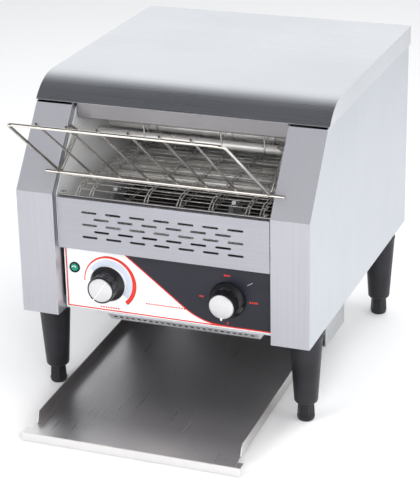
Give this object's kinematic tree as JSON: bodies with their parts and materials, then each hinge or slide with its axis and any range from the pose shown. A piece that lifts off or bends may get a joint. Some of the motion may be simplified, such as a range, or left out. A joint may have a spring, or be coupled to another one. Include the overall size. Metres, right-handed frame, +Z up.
{
  "type": "conveyor toaster",
  "caption": "Countertop conveyor toaster: steel casing with rounded cover, wire loading rack over a wire belt between heaters, recessed controls and a sliding toast tray.",
  "frame": {"origin": "on the counter, at the centre of the object's footprint with loading rack and toast tray in place", "axes": "+Z up, -Y towards the operator (toast tray and controls), +X to the operator's right when facing the controls"},
  "size_m": [0.368, 0.5624, 0.4004],
  "materials": {
    "stainless": "brushed stainless sheet",
    "polished_steel": "bright rolled sheet and ground shafts",
    "dark_steel": "dull brownish stainless",
    "chromed_wire": "bright drawn wire",
    "zinc_steel": "plain plated steel",
    "black_plastic": "moulded black plastic",
    "printed_overlay": "white and charcoal printed film with a red border",
    "green_lens": "green translucent lens with a dark bezel",
    "heater_tube": "bright metal sheath with ceramic ends",
    "bronze": "sintered bronze",
    "ceramic": "white ceramic and moulded insulation"
  },
  "bodies": {
    "casing": {"left_side_panel": "stainless", "right_side_panel": "stainless", "top_cover": "stainless", "rear_panel": "stainless", "bottom_pan": "stainless", "front_vent_panel": "stainless", "control_panel": "stainless", "left_inner_wall": "polished_steel", "right_inner_wall": "polished_steel", "front_shield": "polished_steel", "upper_reflector": "polished_steel", "lower_heat_shield": "polished_steel", "toast_chute": "polished_steel", "gear_motor": "dark_steel", "drive_chain": "dark_steel", "conveyor_belt": "chromed_wire", "bottom_vent_guard": "zinc_steel", "left_tray_runner": "zinc_steel", "right_tray_runner": "zinc_steel", "earth_stud": "zinc_steel", "front_left_leg": "black_plastic", "front_right_leg": "black_plastic", "rear_left_leg": "black_plastic", "rear_right_leg": "black_plastic", "fan_frame": "black_plastic", "speed_controller": "black_plastic", "cable_gland": "black_plastic", "control_overlay": "printed_overlay", "pilot_lamp": "green_lens", "lower_heater_1": "heater_tube", "lower_heater_2": "heater_tube", "lower_heater_3": "heater_tube", "lower_heater_4": "heater_tube", "upper_heater_1": "heater_tube", "upper_heater_2": "heater_tube", "upper_heater_3": "heater_tube", "idler_bush_left": "bronze", "idler_bush_right": "bronze", "drive_bush_left": "bronze", "drive_bush_right": "bronze", "selector_switch": "ceramic", "terminal_block": "ceramic"},
    "selector_knob": {"selector_knob": "black_plastic"},
    "speed_knob": {"speed_knob": "black_plastic"},
    "loading_rack": {"wire_rack": "chromed_wire"},
    "tray": {"toast_tray": "dark_steel"},
    "drive_roller": {"drive_shaft": "polished_steel", "drive_sprocket_left": "zinc_steel", "drive_sprocket_right": "zinc_steel", "chain_sprocket": "zinc_steel"},
    "idler_roller": {"idler_shaft": "polished_steel", "idler_sprocket_left": "zinc_steel", "idler_sprocket_right": "zinc_steel"},
    "motor_output": {"motor_sprocket": "zinc_steel"},
    "fan": {"fan_rotor": "black_plastic"},
    "front_left_leveller": {"front_left_foot": "black_plastic"},
    "front_right_leveller": {"front_right_foot": "black_plastic"},
    "rear_left_leveller": {"rear_left_foot": "black_plastic"},
    "rear_right_leveller": {"rear_right_foot": "black_plastic"}
  },
  "joints": [
    {"name": "selector_turn", "type": "hinge", "parent": "casing", "child": "selector_knob", "pos_m": [0.0765, -0.1406, 0.156], "axis": [0, 1, 0], "range_deg": [0, 270]},
    {"name": "speed_turn", "type": "hinge", "parent": "casing", "child": "speed_knob", "pos_m": [-0.0765, -0.1406, 0.156], "axis": [0, 1, 0], "range_deg": [0, 300]},
    {"name": "rack_lift_off", "type": "slide", "parent": "casing", "child": "loading_rack", "axis": [0, -0.7986, 0.6018], "range_m": [0, 0.12]},
    {"name": "tray_slide", "type": "slide", "parent": "casing", "child": "tray", "axis": [0, -1, 0], "range_m": [0, 0.26]},
    {"name": "drive_spin", "type": "hinge", "parent": "casing", "child": "drive_roller", "pos_m": [0, 0.16735, 0.2435], "axis": [1, 0, 0], "continuous": true},
    {"name": "idler_spin", "type": "hinge", "parent": "casing", "child": "idler_roller", "pos_m": [0, -0.1123, 0.2435], "axis": [1, 0, 0], "continuous": true},
    {"name": "motor_spin", "type": "hinge", "parent": "casing", "child": "motor_output", "pos_m": [0.149, 0.1024, 0.16], "axis": [1, 0, 0], "continuous": true},
    {"name": "fan_spin", "type": "hinge", "parent": "casing", "child": "fan", "pos_m": [-0.02, -0.0296, 0.13], "axis": [0, 0, 1], "continuous": true},
    {"name": "front_left_foot_screw", "type": "slide", "parent": "casing", "child": "front_left_leveller", "axis": [0, 0, -1], "range_m": [0, 0.012]},
    {"name": "front_right_foot_screw", "type": "slide", "parent": "casing", "child": "front_right_leveller", "axis": [0, 0, -1], "range_m": [0, 0.012]},
    {"name": "rear_left_foot_screw", "type": "slide", "parent": "casing", "child": "rear_left_leveller", "axis": [0, 0, -1], "range_m": [0, 0.012]},
    {"name": "rear_right_foot_screw", "type": "slide", "parent": "casing", "child": "rear_right_leveller", "axis": [0, 0, -1], "range_m": [0, 0.012]}
  ],
  "couplings": [
    {"joint": "idler_spin", "follows": "drive_spin", "ratio": 1},
    {"joint": "motor_spin", "follows": "drive_spin", "ratio": 2}
  ]
}
